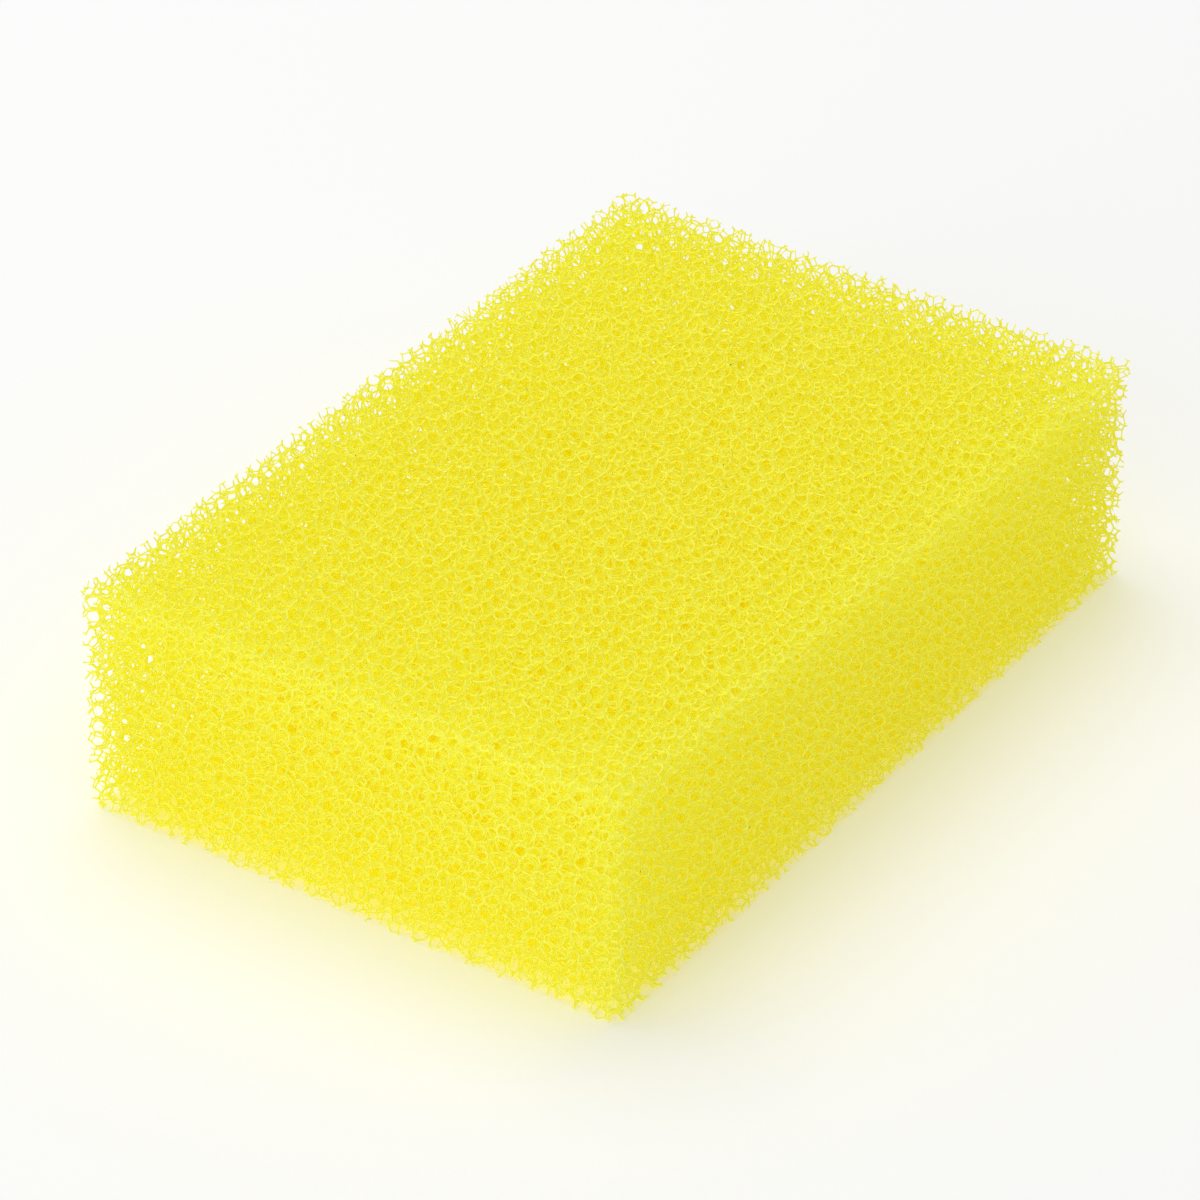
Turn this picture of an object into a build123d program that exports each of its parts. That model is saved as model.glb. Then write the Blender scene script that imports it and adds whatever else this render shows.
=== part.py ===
from build123d import *
import os

# Foam sponge block: one piece of coarse open-cell foam, cut square from a
# larger bun.  The solid is the outer envelope of the cut block, in mm.
# The origin is the middle of the base, +X runs along the length, +Y across
# the width and +Z up through the thickness.

LENGTH = 180.0  # along X
WIDTH = 120.0  # along Y
THICKNESS = 50.0  # along Z, from the base to the upper working face
CELL_SIZE = 3.5  # diameter of one bubble of the foam
EDGE_BREAK = CELL_SIZE / 4  # cut cells leave no strand on the very edge

os.makedirs("parts", exist_ok=True)

with BuildPart() as foam_block:
    with BuildSketch(Plane.XY):
        Rectangle(LENGTH, WIDTH)
    extrude(amount=THICKNESS)
    fillet(foam_block.edges(), radius=EDGE_BREAK)

foam_block.part.label = "foam_block"
export_step(foam_block.part, "parts/foam_block.step")
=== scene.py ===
"""Foam sponge block: the coarse open-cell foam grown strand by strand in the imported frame.

The block is one piece of foam.  Gas bubbles pack against each other, their films burst, and
what is left is a net of thin three-sided strands that meet four at a time in small knots.
The same steps are followed here: bubbles are packed into the block, the knots are the points
that four bubbles share, and the strands are the lines that three bubbles share.
"""

import itertools
import logging
import math
from collections.abc import Callable
from dataclasses import dataclass, field
from enum import Enum

import bpy
import numpy as np
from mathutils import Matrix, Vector
from mathutils.kdtree import KDTree


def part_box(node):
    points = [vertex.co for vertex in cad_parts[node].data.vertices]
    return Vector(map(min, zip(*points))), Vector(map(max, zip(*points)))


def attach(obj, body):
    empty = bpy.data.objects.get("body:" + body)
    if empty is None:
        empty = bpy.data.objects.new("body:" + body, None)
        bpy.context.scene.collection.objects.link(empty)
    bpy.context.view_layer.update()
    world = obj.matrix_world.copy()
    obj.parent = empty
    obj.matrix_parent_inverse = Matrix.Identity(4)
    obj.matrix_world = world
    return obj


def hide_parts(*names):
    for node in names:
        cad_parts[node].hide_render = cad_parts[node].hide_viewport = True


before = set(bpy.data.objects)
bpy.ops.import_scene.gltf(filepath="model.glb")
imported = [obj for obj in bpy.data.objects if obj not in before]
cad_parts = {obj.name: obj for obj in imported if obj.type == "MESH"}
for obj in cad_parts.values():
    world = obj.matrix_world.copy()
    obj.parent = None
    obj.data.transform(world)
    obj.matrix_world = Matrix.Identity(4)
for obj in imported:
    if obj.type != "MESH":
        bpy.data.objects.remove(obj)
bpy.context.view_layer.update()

MM = 0.001
BLOCK_NODE = "foam_block"
SHORTEST = 1e-12

RingFinder = Callable[[np.ndarray, np.ndarray], np.ndarray]
Colour = tuple[float, float, float]

log = logging.getLogger("foam_sponge")


def unit(vectors: np.ndarray) -> np.ndarray:
    """Scale rows of vectors to length one.

    Args:
        vectors: Array whose last axis holds x, y and z.

    Returns:
        The vectors at unit length, and zero where they had none.
    """
    length = np.linalg.norm(vectors, axis=-1, keepdims=True)
    return vectors / np.maximum(length, SHORTEST)


def nearest(points: np.ndarray, count: int) -> np.ndarray:
    """Find the nearest other points of every point.

    Args:
        points: Places in metres, one row each.
        count: How many neighbours to find.

    Returns:
        Row numbers of the neighbours, nearest first.
    """
    tree = KDTree(len(points))
    rows = points.tolist()
    for row, place in enumerate(rows):
        tree.insert(place, row)
    tree.balance()
    found = np.empty((len(points), count), np.int32)
    for row, place in enumerate(rows):
        found[row] = [hit[1] for hit in tree.find_n(place, count + 1)][1:]
    return found


@dataclass(frozen=True)
class Block:
    """The box that the foam fills, read from the CAD frame."""

    low: np.ndarray
    high: np.ndarray

    @classmethod
    def from_node(cls, node: str) -> "Block":
        """Read the box of a CAD node.

        Args:
            node: Name of the CAD node.

        Returns:
            The node's box.
        """
        low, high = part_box(node)
        return cls(np.array(low), np.array(high))

    def depth(self, points: np.ndarray) -> np.ndarray:
        """Depth of each point under the nearest face, negative outside."""
        return np.minimum(points - self.low, self.high - points).min(axis=-1)


@dataclass(frozen=True)
class CellGrade:
    """Spacing of the bubbles: even under the faces, wider in the core that nothing shows."""

    fine: float = 2.8 * MM
    coarse: float = 7.0 * MM
    fine_depth: float = 4.4 * MM
    growth: float = 0.6

    def spacing(self, depth: np.ndarray) -> np.ndarray:
        """Spacing of bubble centres at each depth under the faces."""
        grown = self.fine + self.growth * (depth - self.fine_depth)
        return np.clip(grown, self.fine, self.coarse)


@dataclass
class BubbleBed:
    """Bubbles packed into the block and a little way past its faces."""

    block: Block
    grade: CellGrade
    seed: int = 11
    disorder: float = 0.28
    overhang: float = 1.5
    settling_rounds: int = 6
    settling_neighbours: int = 14
    push_range: float = 1.25
    push: float = 0.18
    most_crowding: float = 2.0

    def scatter(self) -> np.ndarray:
        """Set bubbles on a shaken body-centred lattice, thinned towards the core.

        Returns:
            Bubble centres in metres.
        """
        rng = np.random.default_rng(self.seed)
        step = self.grade.fine * 2 ** (1 / 3)
        margin = self.overhang * self.grade.fine
        spans = zip(self.block.low - margin, self.block.high + margin)
        axes = [np.arange(start, stop, step) for start, stop in spans]
        corners = np.stack(np.meshgrid(*axes, indexing="ij"), -1).reshape(-1, 3)
        centres = np.concatenate([corners, corners + step / 2])
        centres += rng.normal(0, self.disorder * self.grade.fine, centres.shape)
        share = (self.grade.fine / self.grade.spacing(self.block.depth(centres))) ** 3
        return centres[rng.random(len(centres)) < share]

    def settle(self, centres: np.ndarray) -> np.ndarray:
        """Let crowded bubbles push each other apart.

        Args:
            centres: Bubble centres in metres.

        Returns:
            The settled centres.
        """
        margin = self.overhang * self.grade.fine
        for _ in range(self.settling_rounds):
            around = nearest(centres, self.settling_neighbours)
            size = self.grade.spacing(self.block.depth(centres))
            wanted = (size[:, None] + size[around])[:, :, None] / 2
            away = centres[:, None, :] - centres[around]
            gap = np.linalg.norm(away, axis=2, keepdims=True)
            crowding = np.clip(self.push_range * wanted / gap - 1.0, 0.0, self.most_crowding)
            centres = centres + self.push * (away / gap * crowding * wanted).sum(axis=1) / 2
            centres = np.clip(centres, self.block.low - margin, self.block.high + margin)
        return centres

    def pack(self) -> np.ndarray:
        """Scatter and settle the bubbles."""
        return self.settle(self.scatter())


@dataclass
class StrandNet:
    """Knots where four bubbles meet and strands where three bubbles meet."""

    block: Block
    grade: CellGrade
    bubbles: np.ndarray
    neighbours: int = 30
    widest_knot: float = 1.35
    tolerance: float = 1e-6
    clear_tolerance: float = 1e-4
    drawing_rounds: int = 3
    drawing: float = 0.4
    batch: int = 400_000
    knots: np.ndarray = field(init=False)
    knot_cells: np.ndarray = field(init=False)
    strands: np.ndarray = field(init=False)
    strand_cells: np.ndarray = field(init=False)
    kept: np.ndarray = field(init=False)

    def grow(self) -> None:
        """Find knots and strands, draw them taut and keep what hangs together."""
        self.find_knots()
        self.link_strands()
        self.draw_taut()
        self.keep_connected()

    def find_knots(self) -> None:
        """Find every point that is equally near to four bubbles and to no bubble nearer."""
        around = nearest(self.bubbles, self.neighbours)
        offsets = self.bubbles[around] - self.bubbles[:, None, :]
        squares = (offsets ** 2).sum(axis=2)
        reach = self.widest_knot * (1 + self.grade.growth / 4)
        reach = reach * self.grade.spacing(self.block.depth(self.bubbles))
        ahead = (offsets[:, :, 0] > 0) & (squares < (2 * reach[:, None]) ** 2)
        counts = ahead.sum(axis=1)
        cells, centres = [], []
        for count in range(3, counts.max() + 1):
            owners = np.flatnonzero(counts == count)
            trios = np.array(list(itertools.combinations(range(count), 3)))
            share = max(1, self.batch // len(trios))
            for start in range(0, len(owners), share):
                rows = owners[start:start + share]
                columns = np.argsort(~ahead[rows], axis=1, kind="stable")[:, :count]
                found = self.meeting_points(offsets[rows], squares[rows], columns, trios, reach[rows])
                owner, trio, centre = found
                partners = np.take_along_axis(around[rows], columns, 1)[owner[:, None], trios[trio]]
                cells.append(np.column_stack([rows[owner], partners]))
                centres.append(centre + self.bubbles[rows[owner]])
        cells = np.concatenate(cells)
        centres = np.concatenate(centres)
        clear = self.is_clear(cells, centres)
        self.knot_cells = np.sort(cells[clear], axis=1).astype(np.int64)
        self.knots = centres[clear]

    def meeting_points(self, offsets: np.ndarray, squares: np.ndarray, columns: np.ndarray,
                       trios: np.ndarray,
                       reach: np.ndarray) -> tuple[np.ndarray, np.ndarray, np.ndarray]:
        """Solve for the points equally far from a bubble and three of its neighbours.

        Args:
            offsets: Vectors from each bubble to its neighbours.
            squares: Squared lengths of those vectors.
            columns: Which neighbours each bubble owns.
            trios: Every choice of three among the owned neighbours.
            reach: Largest distance of a meeting point from each bubble.

        Returns:
            Bubble row, trio row and offset of each meeting point.
        """
        vectors = np.take_along_axis(offsets, columns[:, :, None], 1)
        lengths = np.take_along_axis(squares, columns, 1)
        a, b, c = (vectors[:, trios[:, k]] for k in range(3))
        aa, bb, cc = (lengths[:, trios[:, k], None] for k in range(3))
        across = np.cross(b, c)
        volume = (a * across).sum(axis=2, keepdims=True)
        with np.errstate(all="ignore"):
            points = (aa * across + bb * np.cross(c, a) + cc * np.cross(a, b)) / (2 * volume)
        radii = (points ** 2).sum(axis=2)
        owner, trio = np.nonzero(np.isfinite(radii) & (radii < reach[:, None] ** 2))
        points = points[owner, trio]
        shadows = 2 * np.einsum("nd,nkd->nk", points, offsets[owner])
        empty = (shadows <= squares[owner] * (1 + self.tolerance)).all(axis=1)
        return owner[empty], trio[empty], points[empty]

    def is_clear(self, cells: np.ndarray, centres: np.ndarray) -> np.ndarray:
        """Check that no other bubble is nearer to a knot than its own four.

        Args:
            cells: The four bubbles of each knot.
            centres: Place of each knot.

        Returns:
            True for each knot that is clear.
        """
        tree = KDTree(len(self.bubbles))
        for row, place in enumerate(self.bubbles.tolist()):
            tree.insert(place, row)
        tree.balance()
        gaps = np.array([tree.find(place)[2] for place in centres.tolist()])
        radii = np.linalg.norm(centres - self.bubbles[cells[:, 0]], axis=1)
        return gaps > radii * (1 - self.clear_tolerance)

    def link_strands(self) -> None:
        """Join the two knots at the ends of each line that three bubbles share."""
        count = len(self.bubbles)
        corners = list(itertools.combinations(range(4), 3))
        trios = np.concatenate([self.knot_cells[:, c] for c in corners])
        owner = np.tile(np.arange(len(self.knot_cells)), len(corners))
        key = (trios[:, 0] * count + trios[:, 1]) * count + trios[:, 2]
        order = np.argsort(key, kind="stable")
        key, owner, trios = key[order], owner[order], trios[order]
        first = np.flatnonzero(key[1:] == key[:-1])
        thrice = np.isin(key[first], key[first][1:][key[first][1:] == key[first][:-1]])
        first = first[~thrice]
        self.strands = np.column_stack([owner[first], owner[first + 1]])
        self.strand_cells = trios[first]

    def draw_taut(self) -> None:
        """Pull each knot part of the way to the middle of its four partners."""
        count = len(self.knots)
        ties = np.bincount(self.strands.ravel(), minlength=count)
        whole = ties == 4
        for _ in range(self.drawing_rounds):
            total = np.column_stack([
                np.bincount(self.strands[:, 0], self.knots[self.strands[:, 1], axis], count)
                + np.bincount(self.strands[:, 1], self.knots[self.strands[:, 0], axis], count)
                for axis in range(3)
            ])
            self.knots[whole] += self.drawing * (total[whole] / 4 - self.knots[whole])

    def keep_connected(self) -> None:
        """Keep the knots inside the block that hang together as one piece."""
        inside = self.block.depth(self.knots) > 0
        ties = self.strands[inside[self.strands].all(axis=1)]
        label = np.arange(len(self.knots))
        while True:
            lowest = label[ties].min(axis=1)
            spread = label.copy()
            np.minimum.at(spread, ties[:, 0], lowest)
            np.minimum.at(spread, ties[:, 1], lowest)
            spread = spread[spread]
            if (spread == label).all():
                break
            label = spread
        names, sizes = np.unique(label[inside], return_counts=True)
        self.kept = inside & (label == names[sizes.argmax()])


class StrandEnd(Enum):
    """Where a strand that leaves its strip ends."""

    SEAM = "half way to a knot of the next strip"
    FACE = "cut through at a face of the block"


@dataclass
class SkinParts:
    """Vertices and faces of one strip, gathered a batch at a time."""

    places: list[np.ndarray] = field(default_factory=list)
    quads: list[np.ndarray] = field(default_factory=list)
    quad_maps: list[np.ndarray] = field(default_factory=list)
    tris: list[np.ndarray] = field(default_factory=list)
    tri_patches: list[np.ndarray] = field(default_factory=list)
    vertex_count: int = 0
    patch_count: int = 0

    def add_ring(self, places: np.ndarray) -> np.ndarray:
        """Add three vertices for each strand.

        Args:
            places: Places as strands by three corners by x, y and z.

        Returns:
            Vertex numbers as strands by three corners.
        """
        numbers = self.vertex_count + np.arange(places.shape[0] * 3).reshape(-1, 3)
        self.places.append(places.reshape(-1, 3))
        self.vertex_count += places.shape[0] * 3
        return numbers

    def new_patches(self, count: int) -> np.ndarray:
        """Number one texture patch for each strand or cap."""
        numbers = self.patch_count + np.arange(count)
        self.patch_count += count
        return numbers

    def add_tube(self, start: np.ndarray, end: np.ndarray, patch: np.ndarray,
                 bottom: float = 0.0, top: float = 1.0) -> None:
        """Add the three sides of each strand between two rings.

        Args:
            start: Vertex numbers of the first ring.
            end: Vertex numbers of the second ring.
            patch: Texture patch of each strand.
            bottom: Height in the patch of the first ring.
            top: Height in the patch of the second ring.
        """
        for side in range(3):
            after = (side + 1) % 3
            left, right = side / 3, (side + 1) / 3
            around = [start[:, side], start[:, after], end[:, after], end[:, side]]
            self.quads.append(np.column_stack(around))
            spots = np.array([(left, bottom), (right, bottom), (right, top), (left, top)])
            self.quad_maps.append(self.in_patch(patch, spots))

    def add_caps(self, corners: np.ndarray) -> None:
        """Close open ends with a triangle each."""
        spots = np.array([(0, 0), (1, 0), (0.5, 1)])
        self.tris.append(corners)
        self.tri_patches.append(self.in_patch(self.new_patches(len(corners)), spots))

    @staticmethod
    def in_patch(patch: np.ndarray, spots: np.ndarray) -> np.ndarray:
        """Pair each corner's spot with the number of its patch."""
        numbers = np.broadcast_to(patch[:, None, None], (len(patch), len(spots), 1))
        places = np.broadcast_to(spots[None], (len(patch), len(spots), 2))
        return np.concatenate([numbers, places], axis=2)


@dataclass
class StrandSkin:
    """Gives the net its thickness, one strip of the block at a time."""

    net: StrandNet
    knot_radius: float = 0.24 * MM
    waist_radius: float = 0.155 * MM
    waisted_depth: float = 1.0 * MM
    core_thickening: float = 0.7
    unevenness: float = 0.10
    thickness_range: tuple[float, float] = (0.7, 1.3)
    patch_border: float = 0.08
    seed: int = 5
    thickness: np.ndarray = field(init=False)
    outer: np.ndarray = field(init=False)

    def __post_init__(self) -> None:
        """Work out how thick the foam is at every knot."""
        rng = np.random.default_rng(self.seed)
        grade, block = self.net.grade, self.net.block
        grown = grade.spacing(block.depth(self.net.knots)) / grade.fine
        chance = rng.normal(1.0, self.unevenness, len(grown)).clip(*self.thickness_range)
        self.thickness = grown ** self.core_thickening * chance
        self.outer = block.depth(self.net.knots) <= 0

    def corners(self, rows: np.ndarray) -> np.ndarray:
        """Four corners of each knot, one towards each of its bubbles."""
        knots = self.net.knots[rows]
        towards = unit(self.net.bubbles[self.net.knot_cells[rows]] - knots[:, None, :])
        return knots[:, None, :] + (self.knot_radius * self.thickness[rows])[:, None, None] * towards

    def ring(self, centres: np.ndarray, axes: np.ndarray, cells: np.ndarray,
             radii: np.ndarray) -> np.ndarray:
        """Three points round a strand, one towards each of its bubbles.

        Args:
            centres: Middle of each ring.
            axes: Direction of each strand.
            cells: The three bubbles of each strand.
            radii: Radius of each ring.

        Returns:
            Places as strands by three corners by x, y and z.
        """
        towards = self.net.bubbles[cells] - centres[:, None, :]
        towards -= (towards * axes[:, None, :]).sum(axis=2, keepdims=True) * axes[:, None, :]
        return centres[:, None, :] + radii[:, None, None] * unit(towards)

    def oriented(self, ends: np.ndarray, cells: np.ndarray) -> np.ndarray:
        """Order each strand's bubbles so that its sides face outwards."""
        a, b, c = (self.net.bubbles[cells[:, k]] for k in range(3))
        along = self.net.knots[ends[:, 1]] - self.net.knots[ends[:, 0]]
        turn = (np.cross(b - a, c - a) * along).sum(axis=1)
        return np.where((turn < 0)[:, None], cells[:, [0, 2, 1]], cells)

    def strip(self, members: np.ndarray) -> SkinParts:
        """Skin the strands of one strip.

        Args:
            members: True for each knot that belongs to the strip.

        Returns:
            The strip's vertices, faces and texture patches.
        """
        net, parts = self.net, SkinParts()
        rows = np.flatnonzero(members)
        place = np.full(len(net.knots), -1)
        place[rows] = np.arange(len(rows))
        parts.places.append(self.corners(rows).reshape(-1, 3))
        parts.vertex_count = 4 * len(rows)

        def knot_ring(knots: np.ndarray, cells: np.ndarray) -> np.ndarray:
            """Find the three corners that a strand grows from."""
            match = net.knot_cells[knots][:, None, :] == cells[:, :, None]
            return place[knots][:, None] * 4 + match.argmax(axis=2)

        one, two = (members[net.strands[:, k]] for k in (0, 1))
        inner = one & two
        self.add_inner(parts, net.strands[inner], net.strand_cells[inner], knot_ring)
        loose = one ^ two
        ends = net.strands[loose]
        ends = np.where(members[ends[:, :1]], ends, ends[:, ::-1])
        beyond = ends[:, 1]
        used = [net.strands[inner][:, 0], net.strands[inner][:, 1]]
        used_cells = [net.strand_cells[inner], net.strand_cells[inner]]
        for ending in (StrandEnd.SEAM, StrandEnd.FACE):
            chosen = net.kept[beyond] if ending is StrandEnd.SEAM else self.outer[beyond]
            cells = net.strand_cells[loose][chosen]
            self.add_loose(parts, ends[chosen], cells, knot_ring, ending)
            used.append(ends[chosen][:, 0])
            used_cells.append(cells)
        self.close_corners(parts, rows, place, np.concatenate(used), np.concatenate(used_cells))
        return parts

    def add_inner(self, parts: SkinParts, ends: np.ndarray, cells: np.ndarray,
                  knot_ring: RingFinder) -> None:
        """Add the strands between two knots of the strip.

        Args:
            parts: Where the faces go.
            ends: The two knots of each strand.
            cells: The three bubbles of each strand.
            knot_ring: Finds the corners of a knot that face three bubbles.
        """
        net = self.net
        cells = self.oriented(ends, cells)
        start, end = knot_ring(ends[:, 0], cells), knot_ring(ends[:, 1], cells)
        middle = net.knots[ends].mean(axis=1)
        near = net.block.depth(middle) < self.waisted_depth
        patch = parts.new_patches(len(ends))
        parts.add_tube(start[~near], end[~near], patch[~near])
        axes = unit(net.knots[ends[near, 1]] - net.knots[ends[near, 0]])
        radii = self.waist_radius * self.thickness[ends[near]].mean(axis=1)
        waist = parts.add_ring(self.ring(middle[near], axes, cells[near], radii))
        parts.add_tube(start[near], waist, patch[near], 0.0, 0.5)
        parts.add_tube(waist, end[near], patch[near], 0.5, 1.0)

    def add_loose(self, parts: SkinParts, ends: np.ndarray, cells: np.ndarray,
                  knot_ring: RingFinder, ending: StrandEnd) -> None:
        """Add the strands that leave the strip, each with a closed end.

        Args:
            parts: Where the faces go.
            ends: The strip's knot and the knot beyond, for each strand.
            cells: The three bubbles of each strand.
            knot_ring: Finds the corners of a knot that face three bubbles.
            ending: Where the strands stop.
        """
        block = self.net.block
        cells = self.oriented(ends, cells)
        inside, beyond = self.net.knots[ends[:, 0]], self.net.knots[ends[:, 1]]
        axes = unit(beyond - inside)
        radii = self.waist_radius * self.thickness[ends].mean(axis=1)
        if ending is StrandEnd.SEAM:
            thick = block.depth((inside + beyond) / 2) >= self.waisted_depth
            radii = np.where(thick, self.knot_radius / self.waist_radius, 1.0) * radii
            tips = self.ring((inside + beyond) / 2, axes, cells, radii)
        else:
            step = beyond - inside
            with np.errstate(all="ignore"):
                share = np.where(step > 0, (block.high - inside) / step, (block.low - inside) / step)
            share[step == 0] = np.inf
            face = share.argmin(axis=1)
            row = np.arange(len(ends))
            wall = np.where(step[row, face] > 0, block.high[face], block.low[face])
            tips = self.ring(inside + share.min(axis=1)[:, None] * step, axes, cells, radii)
            tips[row, :, face] = wall[:, None]
        tip_ring = parts.add_ring(tips)
        parts.add_tube(knot_ring(ends[:, 0], cells), tip_ring, parts.new_patches(len(ends)))
        parts.add_caps(tip_ring)

    def close_corners(self, parts: SkinParts, rows: np.ndarray, place: np.ndarray, knots: np.ndarray,
                      cells: np.ndarray) -> None:
        """Close each side of a knot that no strand grows from.

        Args:
            parts: Where the faces go.
            rows: Knots of the strip.
            place: The strip's own number of each knot.
            knots: Knot at the root of each strand.
            cells: The three bubbles of each of those strands.
        """
        sides = np.zeros((len(rows), 4), bool)
        touching = (self.net.knot_cells[knots][:, :, None] == cells[:, None, :]).any(axis=2)
        sides[place[knots], (~touching).argmax(axis=1)] = True
        knot, side = np.nonzero(~sides)
        others = np.array([[1, 2, 3], [0, 2, 3], [0, 1, 3], [0, 1, 2]])[side]
        caps = knot[:, None] * 4 + others
        a, b, c = (parts.places[0][caps[:, k]] for k in range(3))
        outward = (a + b + c) / 3 - self.net.knots[rows[knot]]
        inverted = (np.cross(b - a, c - a) * outward).sum(axis=1) < 0
        parts.add_caps(np.where(inverted[:, None], caps[:, [0, 2, 1]], caps))


@dataclass(frozen=True)
class FoamFinish:
    """Lemon-yellow dyed polyether foam: soft satin strands, a little uneven in colour, with painted
    light that makes the outermost strands paler.
    """

    name: str = "lemon_foam"
    base: Colour = (0.999, 0.985, 0.130)
    deep: Colour = (0.999, 0.983, 0.118)
    # Paler, whiter yellow used as painted light on the outermost strands, which catch the direct light.
    pale: Colour = (0.999, 0.988, 0.170)
    cloud_scale: float = 35.0
    cloud_edges: tuple[float, float] = (0.35, 0.65)
    fleck_scale: float = 420.0
    fleck_edges: tuple[float, float] = (0.45, 0.75)
    sheen_edges: tuple[float, float] = (0.3, 0.7)
    pore_scale: float = 2600.0
    most_painted_light: float = 0.55
    most_flecked: float = 0.6
    roughness: tuple[float, float] = (0.50, 0.72)
    specular: float = 0.03
    bump_depth: float = 0.02 * MM
    bump_strength: float = 0.25

    def material(self) -> bpy.types.Material:
        """Build the foam's node material.

        Returns:
            The new material.
        """
        made = bpy.data.materials.new(self.name)
        made.use_nodes = True
        tree = made.node_tree
        shader = tree.nodes["Principled BSDF"]
        shader.inputs["Specular IOR Level"].default_value = self.specular
        place = tree.nodes.new("ShaderNodeTexCoord").outputs["Object"]
        clouds = self.noise(tree, place, self.cloud_scale, 2.0)
        flecks = self.noise(tree, place, self.fleck_scale, 3.0)
        pores = self.noise(tree, place, self.pore_scale, 2.0)
        dyed = self.blend(tree, self.ramp(tree, clouds, *self.cloud_edges), self.base, self.deep)
        # Painted light: strands near the block's faces are mixed towards the pale colour, standing in
        # for the direct light they catch.
        painted_light_share = self.ramp(tree, self.attribute(tree, "painted_edge_light"), 0.0, 1.0, 0.0, self.most_painted_light)
        painted_light_mix = self.blend(tree, painted_light_share, dyed, self.pale)
        flecked = self.ramp(tree, flecks, *self.fleck_edges, 0.0, self.most_flecked)
        mottled = self.blend(tree, flecked, painted_light_mix, self.deep)
        tree.links.new(mottled, shader.inputs["Base Color"])
        dulled = self.ramp(tree, flecks, *self.sheen_edges, *self.roughness)
        tree.links.new(dulled, shader.inputs["Roughness"])
        bump = tree.nodes.new("ShaderNodeBump")
        bump.inputs["Strength"].default_value = self.bump_strength
        bump.inputs["Distance"].default_value = self.bump_depth
        tree.links.new(pores, bump.inputs["Height"])
        tree.links.new(bump.outputs["Normal"], shader.inputs["Normal"])
        return made

    @staticmethod
    def noise(tree: bpy.types.NodeTree, place: bpy.types.NodeSocket, scale: float,
              detail: float) -> bpy.types.NodeSocket:
        """Add a noise texture in the block's own space.

        Args:
            tree: Node tree to add to.
            place: Coordinates that the noise follows.
            scale: Number of features in a metre.
            detail: Number of finer layers.

        Returns:
            The noise's value.
        """
        node = tree.nodes.new("ShaderNodeTexNoise")
        node.inputs["Scale"].default_value = scale
        node.inputs["Detail"].default_value = detail
        tree.links.new(place, node.inputs["Vector"])
        return node.outputs["Fac"]

    @staticmethod
    def attribute(tree: bpy.types.NodeTree, name: str) -> bpy.types.NodeSocket:
        """Read a number stored on the mesh."""
        node = tree.nodes.new("ShaderNodeAttribute")
        node.attribute_name = name
        return node.outputs["Fac"]

    @staticmethod
    def ramp(tree: bpy.types.NodeTree, value: bpy.types.NodeSocket, low: float, high: float,
             to_low: float = 0.0, to_high: float = 1.0) -> bpy.types.NodeSocket:
        """Stretch part of a value's range over another range.

        Args:
            tree: Node tree to add to.
            value: The value to stretch.
            low: Start of the part that is used.
            high: End of the part that is used.
            to_low: What the start becomes.
            to_high: What the end becomes.

        Returns:
            The stretched value.
        """
        node = tree.nodes.new("ShaderNodeMapRange")
        sockets = ("From Min", "From Max", "To Min", "To Max")
        for socket, number in zip(sockets, (low, high, to_low, to_high)):
            node.inputs[socket].default_value = number
        tree.links.new(value, node.inputs["Value"])
        return node.outputs["Result"]

    @staticmethod
    def blend(tree: bpy.types.NodeTree, share: bpy.types.NodeSocket,
              first: "bpy.types.NodeSocket | Colour", second: Colour) -> bpy.types.NodeSocket:
        """Mix a colour into another.

        Args:
            tree: Node tree to add to.
            share: How much of the second colour there is.
            first: First colour, or the socket that gives it.
            second: Second colour.

        Returns:
            The mixed colour.
        """
        node = tree.nodes.new("ShaderNodeMix")
        node.data_type = "RGBA"
        factor = node.inputs["Factor"]
        one, two = node.inputs[6], node.inputs[7]
        tree.links.new(share, factor)
        if isinstance(first, tuple):
            one.default_value = (*first, 1.0)
        else:
            tree.links.new(first, one)
        two.default_value = (*second, 1.0)
        return node.outputs[2]


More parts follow.
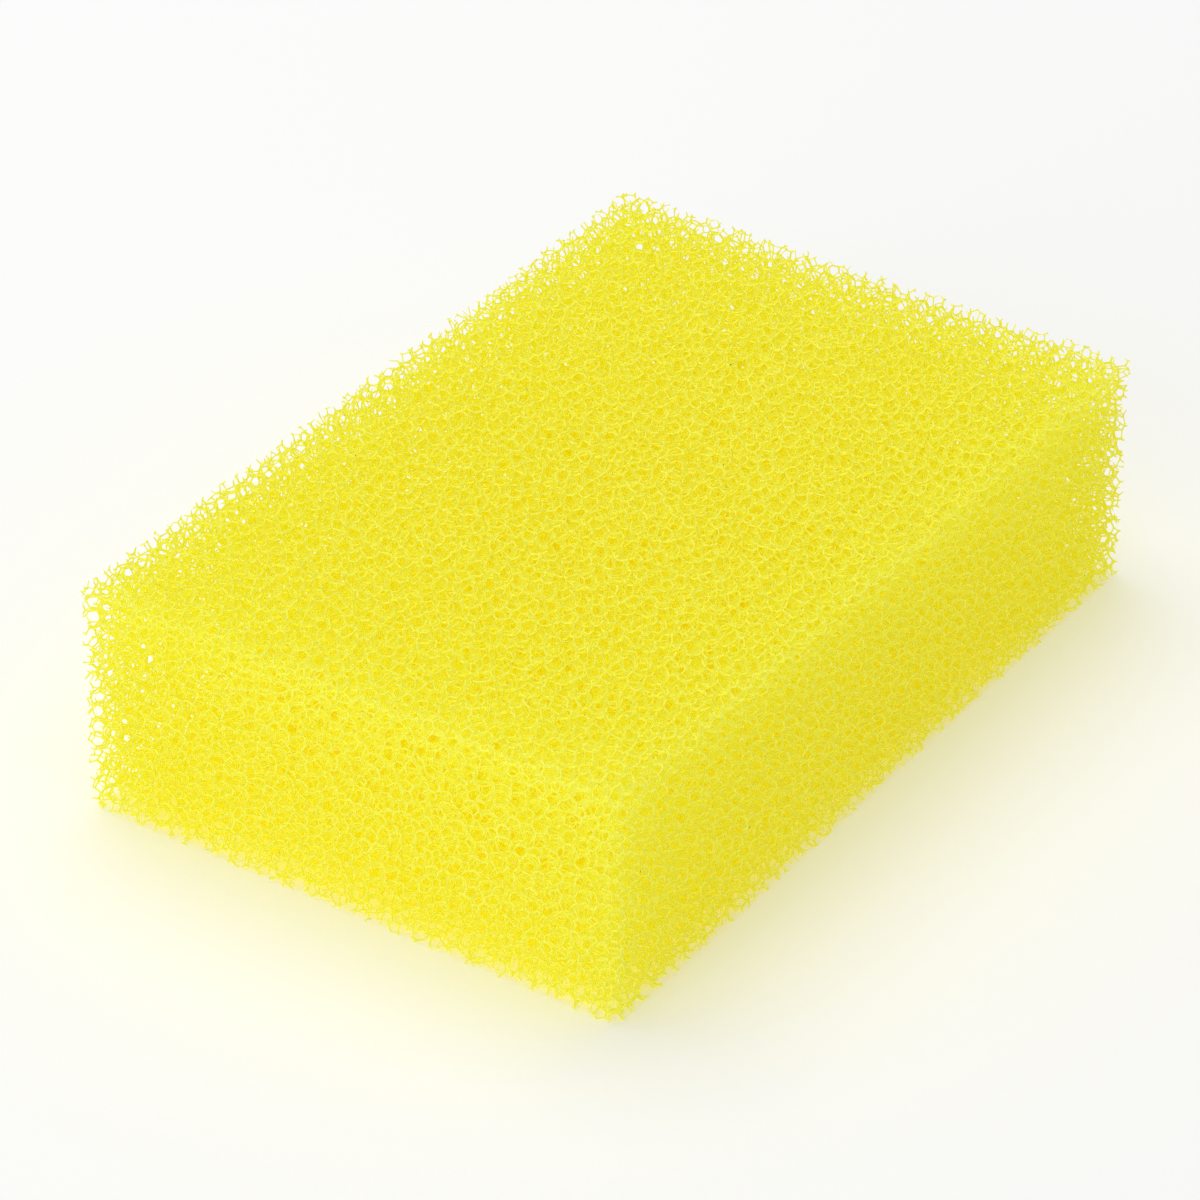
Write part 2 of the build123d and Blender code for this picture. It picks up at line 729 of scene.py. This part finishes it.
@dataclass
class FoamBlock:
    """The whole block, its mesh divided into strips along its length to keep each file small."""

    block: Block
    skin: StrandSkin
    finish: FoamFinish
    strips: int = 10
    # Depth under the faces over which the painted light on the outer strands fades out.
    painted_light_depth: float = 1.5 * MM
    fill: float = 1.0

    def borders(self) -> np.ndarray:
        """Places across the width that share the faces out evenly."""
        net = self.skin.net
        middles = net.knots[net.strands[net.kept[net.strands].all(axis=1)]].mean(axis=1)
        waisted = middles[self.block.depth(middles) < self.skin.waisted_depth]
        across = np.concatenate([middles[:, 1], waisted[:, 1]])
        return np.quantile(across, np.linspace(0, 1, self.strips + 1)[1:-1])

    def build(self) -> list[bpy.types.Object]:
        """Make and dress every strip.

        Returns:
            The strips' objects.
        """
        net = self.skin.net
        material = self.finish.material()
        strip_of = np.searchsorted(self.borders(), net.knots[:, 1])
        made = []
        for number in range(self.strips):
            parts = self.skin.strip(net.kept & (strip_of == number))
            piece = self.mesh_object(f"foam_strip_{number + 1:02d}", parts)
            self.dress(piece, material)
            made.append(piece)
        return made

    def mesh_object(self, name: str, parts: SkinParts) -> bpy.types.Object:
        """Turn a strip's vertices and faces into an object.

        Args:
            name: Name of the piece.
            parts: The strip's vertices and faces.

        Returns:
            The new object.
        """
        places = np.clip(np.concatenate(parts.places), self.block.low, self.block.high)
        quads, tris = np.concatenate(parts.quads), np.concatenate(parts.tris)
        mesh = bpy.data.meshes.new(name)
        mesh.vertices.add(len(places))
        mesh.vertices.foreach_set("co", places.astype(np.float32).ravel())
        corners = np.concatenate([quads.ravel(), tris.ravel()])
        mesh.loops.add(len(corners))
        mesh.loops.foreach_set("vertex_index", corners.astype(np.int32))
        starts = np.concatenate([np.arange(len(quads)) * 4, quads.size + np.arange(len(tris)) * 3])
        mesh.polygons.add(len(starts))
        mesh.polygons.foreach_set("loop_start", starts.astype(np.int32))
        mesh.update(calc_edges=True)
        mesh.shade_flat()
        self.lay_patches(mesh, parts)
        # Painted light: one at the block's faces, falling to nothing at the painted-light depth; the
        # material whitens the strands by it.
        painted_edge_light = np.clip(1 - self.block.depth(places) / self.painted_light_depth, 0, 1)
        mesh.attributes.new("painted_edge_light", "FLOAT", "POINT").data.foreach_set("value", painted_edge_light.astype(np.float32))
        piece = bpy.data.objects.new(name, mesh)
        bpy.context.scene.collection.objects.link(piece)
        log.info("%s: %d vertices, %d triangles", name, len(places), 2 * len(quads) + len(tris))
        return piece

    def lay_patches(self, mesh: bpy.types.Mesh, parts: SkinParts) -> None:
        """Unroll every strand into its own square of the texture map.

        Args:
            mesh: The strip's mesh.
            parts: The strip's faces and their patches.
        """
        spots = np.concatenate([m.reshape(-1, 3) for m in (*parts.quad_maps, *parts.tri_patches)])
        side = math.ceil(math.sqrt(parts.patch_count))
        number = spots[:, 0].astype(int)
        corner = np.column_stack([number % side, number // side])
        border = self.skin.patch_border
        unrolled = (corner + border + (1 - 2 * border) * spots[:, 1:]) / side
        layer = mesh.uv_layers.new(name="OFBake")
        layer.data.foreach_set("uv", unrolled.astype(np.float32).ravel())

    def dress(self, piece: bpy.types.Object, material: bpy.types.Material) -> None:
        """Give a strip its finish and its place in the frame.

        Args:
            piece: The strip.
            material: Its finish.
        """
        piece.data.materials.append(material)
        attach(piece, "root")
        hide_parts(BLOCK_NODE)


@dataclass(frozen=True)
class SoftLight:
    """A round soft box that faces the block."""

    name: str
    place: tuple[float, float, float]
    width: float
    power: float

    def build(self, target: Vector) -> bpy.types.Object:
        """Add the light.

        Args:
            target: Point that the light faces.

        Returns:
            The light's object.
        """
        data = bpy.data.lights.new(self.name, "AREA")
        data.shape = "DISK"
        data.size = self.width
        data.energy = self.power
        lamp = bpy.data.objects.new(self.name, data)
        bpy.context.scene.collection.objects.link(lamp)
        lamp.location = self.place
        lamp.rotation_euler = (target - lamp.location).to_track_quat("-Z", "Y").to_euler()
        return lamp


@dataclass
class Studio:
    """Pale floor, soft light and the camera."""

    block: Block
    floor_width: float = 6.0
    floor_tone: float = 1.0
    floor_roughness: float = 0.9
    floor_glow: float = 0.05
    room_light: float = 0.60
    lights: tuple[SoftLight, ...] = (
        SoftLight("end_light", (-1.6, -0.1, 0.5), 1.4, 5.5),
        SoftLight("top_light", (0.2, 0.5, 1.6), 1.6, 9.3),
    )
    bearing: float = -146.2
    height: float = 33.4
    distance_in_lengths: float = 5.94
    lens: float = 166.5
    sensor: float = 36.0
    view_end: float = 50.0
    roll: float = 0.44
    shift: tuple[float, float] = (-0.0181, -0.0177)
    light_bounces: int = 64

    def build(self) -> None:
        """Set up the floor, the light and the camera."""
        target = Vector((self.block.low + self.block.high) / 2)
        self.add_floor()
        self.light_room()
        for light in self.lights:
            light.build(target)
        self.add_camera(target)

    def add_floor(self) -> None:
        """Lay a plain matte floor under the block, with a faint glow like a light table."""
        bpy.ops.object.select_all(action="DESELECT")
        bpy.ops.mesh.primitive_plane_add(size=self.floor_width, location=(0, 0, self.block.low[2]))
        floor = bpy.context.object
        floor.name = "floor"
        paint = bpy.data.materials.new("pale_floor")
        paint.use_nodes = True
        shader = paint.node_tree.nodes["Principled BSDF"]
        tone = self.floor_tone
        shader.inputs["Base Color"].default_value = (tone, tone, tone, 1)
        shader.inputs["Roughness"].default_value = self.floor_roughness
        shader.inputs["Specular IOR Level"].default_value = 0.0
        shader.inputs["Emission Color"].default_value = (1, 1, 1, 1)
        shader.inputs["Emission Strength"].default_value = self.floor_glow
        floor.data.materials.append(paint)

    def light_room(self) -> None:
        """Fill the room with even white light that passes on and on between the strands."""
        scene = bpy.context.scene
        scene.world = bpy.data.worlds.new("soft_room")
        scene.world.use_nodes = True
        background = scene.world.node_tree.nodes["Background"]
        background.inputs["Color"].default_value = (1, 1, 1, 1)
        background.inputs["Strength"].default_value = self.room_light
        scene.view_settings.view_transform = "Standard"
        scene.cycles.max_bounces = self.light_bounces
        scene.cycles.diffuse_bounces = self.light_bounces

    def add_camera(self, target: Vector) -> None:
        """Place the camera on its bearing round the block.

        Args:
            target: Middle of the block.
        """
        data = bpy.data.cameras.new("camera")
        data.sensor_width = self.sensor
        data.lens = self.lens
        data.shift_x, data.shift_y = self.shift
        data.clip_end = self.view_end
        camera = bpy.data.objects.new("camera", data)
        bpy.context.scene.collection.objects.link(camera)
        bearing, height = math.radians(self.bearing), math.radians(self.height)
        flat = math.cos(height)
        back = Vector((math.cos(bearing) * flat, math.sin(bearing) * flat, math.sin(height)))
        length = float(self.block.high[0] - self.block.low[0])
        camera.location = target + back * length * self.distance_in_lengths
        camera.rotation_euler = (-back).to_track_quat("-Z", "Y").to_euler()
        camera.rotation_euler.rotate_axis("Z", math.radians(self.roll))
        bpy.context.scene.camera = camera


def main() -> None:
    """Grow the foam, dress it and set up the studio."""
    logging.basicConfig(level=logging.INFO, format="%(message)s")
    block = Block.from_node(BLOCK_NODE)
    grade = CellGrade()
    bubbles = BubbleBed(block, grade).pack()
    log.info("bubbles: %d", len(bubbles))
    net = StrandNet(block, grade, bubbles)
    net.grow()
    log.info("net: %d knots kept of %d, %d strands", net.kept.sum(), len(net.knots), len(net.strands))
    strips = FoamBlock(block, StrandSkin(net), FoamFinish()).build()
    log.info("foam block: %d strips", len(strips))
    Studio(block).build()
    log.info("studio: floor, lights and camera")


if __name__ == "__main__":
    main()
